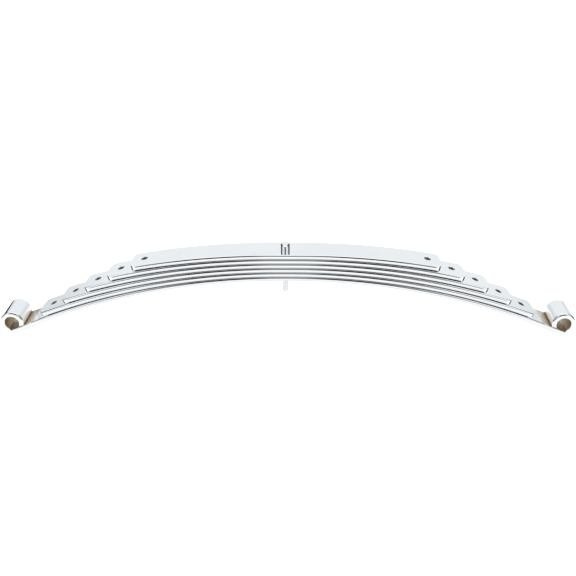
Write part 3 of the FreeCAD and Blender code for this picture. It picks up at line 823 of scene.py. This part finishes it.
def chrome_material(name, roughness, with_recesses):
    """Chrome plate: polishing marks, faint orange peel and haze, and bare nickel in recesses, with
    painted shade darkening the bore and the crevice.
    """
    made = Nodes(name)
    place = made.attribute("rest_place", "Vector")
    peel = made.noise(place, PEEL_SCALE, 2)
    marks = made.noise(place, MARK_SCALE, 3, MARK_STRETCH)
    haze = made.noise(place, HAZE_SCALE, 4)
    colour = made.blend_colours(made.range(haze, 0.4, 0.7, 0, 1), CHROME, CHROME_HAZE)
    rough = made.math("ADD", made.range(marks, 0.35, 0.75, 0, 0.02),
                      made.range(haze, 0.35, 0.75, 0, 0.025))
    rough = made.math("ADD", rough, roughness)
    if with_recesses:
        patches = made.noise(place, NICKEL_SCALE, 4)
        nickel = made.attribute("nickel", "Fac")
        amount = made.math("MULTIPLY", nickel, made.range(patches, 0.25, 0.6, 0.82, 1))
        bare = made.blend_colours(made.range(patches, 0.3, 0.7, 0, 1), NICKEL, NICKEL_DULL)
        colour = made.blend_colours(amount, colour, bare)
        # Painted shade: towards half shade the colour darkens to the bore's deeper tan, and towards
        # full shade to the crevice's near black
        painted_shade = made.attribute("painted_shade", "Fac")
        colour = made.blend_colours(made.range(painted_shade, 0, 0.5, 0, 1), colour, BORE_NICKEL_PAINTED_SHADE)
        colour = made.blend_colours(made.range(painted_shade, 0.5, 1, 0, 1), colour, CREVICE_PAINTED_SHADE)
        for share in (amount, painted_shade):
            rough = made.math("ADD", rough, made.math("MULTIPLY", share, RECESS_ROUGHNESS))
    made.link(colour, made.shader.inputs["Base Color"])
    made.link(rough, made.shader.inputs["Roughness"])
    made.shader.inputs["Metallic"].default_value = 1
    heights = made.math("ADD", peel, made.math("MULTIPLY", marks, 0.25))
    made.bump(heights, CHROME_BUMP, BUMP_STRENGTH)
    return made.material


def nylon_material():
    """Black moulded nylon with a fine grain and paler scuffs."""
    made = Nodes("slider_nylon")
    place = made.attribute("rest_place", "Vector")
    grain = made.noise(place, GRAIN_SCALE, 3)
    scuffs = made.noise(place, SCUFF_SCALE, 4)
    colour = made.blend_colours(made.range(scuffs, 0.45, 0.75, 0, 1), NYLON, NYLON_SCUFF)
    made.link(colour, made.shader.inputs["Base Color"])
    made.link(made.range(scuffs, 0.3, 0.7, 0.22, 0.4), made.shader.inputs["Roughness"])
    made.shader.inputs["IOR"].default_value = NYLON_IOR
    made.bump(grain, NYLON_BUMP, BUMP_STRENGTH)
    return made.material


# ---- Studio ----
# A direction is told by its turn from the camera's side, its rise, its pitch from the front (all in
# degrees) and its offset from the middle (0 to 1). A window is a measure, its two limits and the
# softness of each.

OFFSET_LEAN = -0.02             # turns the screens a little, as the photograph's camera is turned
HORIZON = (-2, 1)
WALL = 0.93
CEILING_GAIN, CEILING_RISE = 0.35, (42, 75)
GROUND = 1.16
GROUND_LOSS, GROUND_RISE = 0.36, (-35, -80)
ROOM_DEPTH = 0.98               # the dark room behind the camera
ROOM = (("offset", -1, 0.44, 0.01, 0.09), ("pitch", -15, 75, 2, 3))
ROOM_MIDDLE_LOSS = 0.22         # it is paler in its middle and has bright gaps at both sides
ROOM_MIDDLE = ("offset", -1, 0.07, 0.01, 0.04)
ROOM_GAPS = (("offset", 0.27, 1, 0.03, 0.1), ("pitch", 22, 35, 2, 2))
SCREENS = (
    # Tall and low dark screens at both sides, with their dim surroundings
    (0.97, ("turn", 82, 144.4, 6, 0.3), ("rise", -9, 44, 2, 4)),
    (0.95, ("turn", 42, 84, 5, 1), ("rise", -9, 20, 2, 2)),
    (0.16, ("turn", 60, 150, 10, 4), ("rise", -12, 26, 4, 8)),
    # The side screens and the room as a glossy floor would show them
    (0.16, ("turn", 82, 144, 8, 4), ("rise", -44, -9, 4, 2)),
    (0.16, ("offset", -1, 0.3, 0.01, 0.1), ("pitch", -64, -25, 4, 2)),
)
WARM_WHITE = (1, 1, 1, 1)
COOL_WHITE = (0.955, 0.985, 1.0, 1)
FLOOR_REACH = 20
FLOOR_COLOUR = (0.9, 0.9, 0.9, 1)
SOFTBOX_SIZE = (2.4, 1.2)
SOFTBOX_HEIGHT = 1.6
SOFTBOX_POWER = 6


class SkyNodes:
    """Brightness of the studio by direction: pale walls and floor, with a few dark screens."""

    def __init__(self):
        world = bpy.data.worlds.new("studio")
        bpy.context.scene.world = world
        world.use_nodes = True
        self.tree = world.node_tree
        self.tree.nodes.clear()
        place = self.tree.nodes.new("ShaderNodeTexCoord")
        parts = self.tree.nodes.new("ShaderNodeSeparateXYZ")
        self.tree.links.new(place.outputs["Generated"], parts.inputs[0])
        x, y, z = parts.outputs
        ahead = self.math("MULTIPLY", y, -1)
        lean = self.math("MULTIPLY", y, OFFSET_LEAN)
        offset = self.math("ABSOLUTE", self.math("ADD", x, lean))
        self.measures = {
            "offset": offset,
            "rise": self.degrees(self.math("ARCSINE", z)),
            "turn": self.degrees(self.math("ARCTAN2", offset, ahead)),
            "pitch": self.degrees(self.math("ARCTAN2", z, ahead)),
        }

    def degrees(self, value):
        return self.math("MULTIPLY", value, 180 / math.pi)

    def math(self, operation, first, second=None):
        node = self.tree.nodes.new("ShaderNodeMath")
        node.operation = operation
        for socket, value in zip(node.inputs, (first, second)):
            if isinstance(value, (int, float)):
                socket.default_value = value
            elif value is not None:
                self.tree.links.new(value, socket)
        return node.outputs[0]

    def step(self, value, start, end):
        node = self.tree.nodes.new("ShaderNodeMapRange")
        node.interpolation_type = "SMOOTHSTEP"
        node.inputs["From Min"].default_value = start
        node.inputs["From Max"].default_value = end
        self.tree.links.new(value, node.inputs["Value"])
        return node.outputs["Result"]

    def window(self, measure, low, high, soft_low, soft_high):
        """1 between two limits and 0 outside them, each with its own softness."""
        value = self.measures[measure]
        past = self.step(value, high - soft_high, high + soft_high)
        return self.math("MULTIPLY", self.step(value, low - soft_low, low + soft_low),
                         self.math("SUBTRACT", 1, past))

    def without(self, depth, *windows):
        """What is left of the light inside all the windows, where a screen takes a share of it."""
        for window in windows:
            depth = self.math("MULTIPLY", depth, self.window(*window))
        return self.math("SUBTRACT", 1, depth)


def make_sky():
    """White to the camera, and pale with dark screens to everything that reflects it."""
    sky = SkyNodes()
    rise = sky.measures["rise"]
    above = sky.step(rise, *HORIZON)
    wall = sky.math("ADD", WALL, sky.math("MULTIPLY", sky.step(rise, *CEILING_RISE), CEILING_GAIN))
    loss = sky.math("MULTIPLY", sky.step(rise, *GROUND_RISE), GROUND_LOSS)
    ground = sky.math("SUBTRACT", GROUND, loss)
    light = sky.math("ADD", sky.math("MULTIPLY", wall, above),
                     sky.math("MULTIPLY", ground, sky.math("SUBTRACT", 1, above)))
    middle = sky.without(ROOM_MIDDLE_LOSS, ROOM_MIDDLE)
    gaps = sky.without(1, *ROOM_GAPS)
    room = sky.math("MULTIPLY", ROOM_DEPTH, sky.math("MULTIPLY", middle, gaps))
    for depth, *windows in ((room, *ROOM), *SCREENS):
        light = sky.math("MULTIPLY", light, sky.without(depth, *windows))
    tint = sky.tree.nodes.new("ShaderNodeMix")
    tint.data_type = "RGBA"
    tint.inputs[6].default_value = WARM_WHITE
    tint.inputs[7].default_value = COOL_WHITE
    sky.tree.links.new(above, tint.inputs["Factor"])
    seen = sky.tree.nodes.new("ShaderNodeLightPath")
    surroundings = sky.tree.nodes.new("ShaderNodeBackground")
    sky.tree.links.new(tint.outputs[2], surroundings.inputs["Color"])
    sky.tree.links.new(light, surroundings.inputs["Strength"])
    backdrop = sky.tree.nodes.new("ShaderNodeBackground")
    backdrop.inputs["Color"].default_value = (1, 1, 1, 1)
    chosen = sky.tree.nodes.new("ShaderNodeMixShader")
    sky.tree.links.new(seen.outputs["Is Camera Ray"], chosen.inputs["Fac"])
    sky.tree.links.new(surroundings.outputs[0], chosen.inputs[1])
    sky.tree.links.new(backdrop.outputs[0], chosen.inputs[2])
    output = sky.tree.nodes.new("ShaderNodeOutputWorld")
    sky.tree.links.new(chosen.outputs[0], output.inputs["Surface"])


def make_floor():
    """White light table under the spring. What it would reflect comes from the studio's ground."""
    mesh = bpy.data.meshes.new("floor")
    corners = [(x * FLOOR_REACH, y * FLOOR_REACH, 0)
               for x, y in ((-1, -1), (1, -1), (1, 1), (-1, 1))]
    mesh.from_pydata(corners, [], [(0, 1, 2, 3)])
    floor = bpy.data.objects.new("floor", mesh)
    bpy.context.scene.collection.objects.link(floor)
    material = bpy.data.materials.new("light_table")
    material.use_nodes = True
    shader = material.node_tree.nodes["Principled BSDF"]
    shader.inputs["Base Color"].default_value = FLOOR_COLOUR
    shader.inputs["Roughness"].default_value = 1
    shader.inputs["Emission Color"].default_value = (1, 1, 1, 1)
    shader.inputs["Emission Strength"].default_value = 1
    mesh.materials.append(material)
    floor.visible_glossy = False


def make_softbox():
    """Large soft light over the spring."""
    light = bpy.data.lights.new("softbox", "AREA")
    light.shape = "RECTANGLE"
    light.size, light.size_y = SOFTBOX_SIZE
    light.energy = SOFTBOX_POWER
    lamp = bpy.data.objects.new("softbox", light)
    lamp.location = (0, 0, SOFTBOX_HEIGHT)
    lamp.visible_glossy = False
    bpy.context.scene.collection.objects.link(lamp)


CAMERA_AIM = Vector((3.2 * MM, 0, 64.3 * MM))
CAMERA_DISTANCE = 1.166
CAMERA_RISE = math.radians(28.5)
CAMERA_TURN = math.radians(1.485)
CAMERA_ROLL = math.radians(-0.595)
CAMERA_LENS = 50.44             # millimetres, as the sensor is
CAMERA_SENSOR = 36
CAMERA_CLIP = 0.01


def make_camera():
    """Camera above the front, aimed just right of the centre bolt and hardly tilted."""
    camera = bpy.data.cameras.new("camera")
    camera.lens = CAMERA_LENS
    camera.sensor_width = CAMERA_SENSOR
    camera.clip_start = CAMERA_CLIP
    back = Vector((math.sin(CAMERA_TURN) * math.cos(CAMERA_RISE),
                   -math.cos(CAMERA_TURN) * math.cos(CAMERA_RISE), math.sin(CAMERA_RISE)))
    level = Vector((math.cos(CAMERA_TURN), math.sin(CAMERA_TURN), 0))
    upright = back.cross(level)
    right = level * math.cos(CAMERA_ROLL) + upright * math.sin(CAMERA_ROLL)
    up = upright * math.cos(CAMERA_ROLL) - level * math.sin(CAMERA_ROLL)
    holder = bpy.data.objects.new("camera", camera)
    turn = Matrix((right, up, back)).transposed().to_4x4()
    holder.matrix_world = Matrix.Translation(CAMERA_AIM + back * CAMERA_DISTANCE) @ turn
    bpy.context.scene.collection.objects.link(holder)
    bpy.context.scene.camera = holder


# ---- The spring ----


def fit_leaf(piece, leaf, side):
    """Bakes a half leaf's placing into its mesh. It stands for both CAD sections, which are hidden.
    """
    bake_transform(piece)
    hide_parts(f"{leaf.name}_centre", f"{leaf.name}_{side}_arm")


def make_spring():
    chrome = chrome_material("chrome_plate", CHROME_ROUGHNESS, with_recesses=True)
    steel = chrome_material("bolt_plate", BOLT_ROUGHNESS, with_recesses=False)
    nylon = nylon_material()
    for number in LEAVES:
        for side in SIDES:
            leaf = Leaf(number, side)
            make = make_main_leaf if number == 1 else make_upper_leaf
            fit_leaf(make(leaf, chrome), leaf, side)
            if number > 1:
                button = make_button(leaf, nylon)
                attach(button, leaf.body)
                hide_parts(f"{leaf.body}_button")
    for piece, node in ((make_bolt(steel), "centre_bolt"), (make_nut(steel), "centre_bolt_nut")):
        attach(piece, CENTRE_BODY)
        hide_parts(node)


make_camera()
make_sky()
make_floor()
make_softbox()
make_spring()
bpy.context.scene.view_settings.view_transform = "Standard"
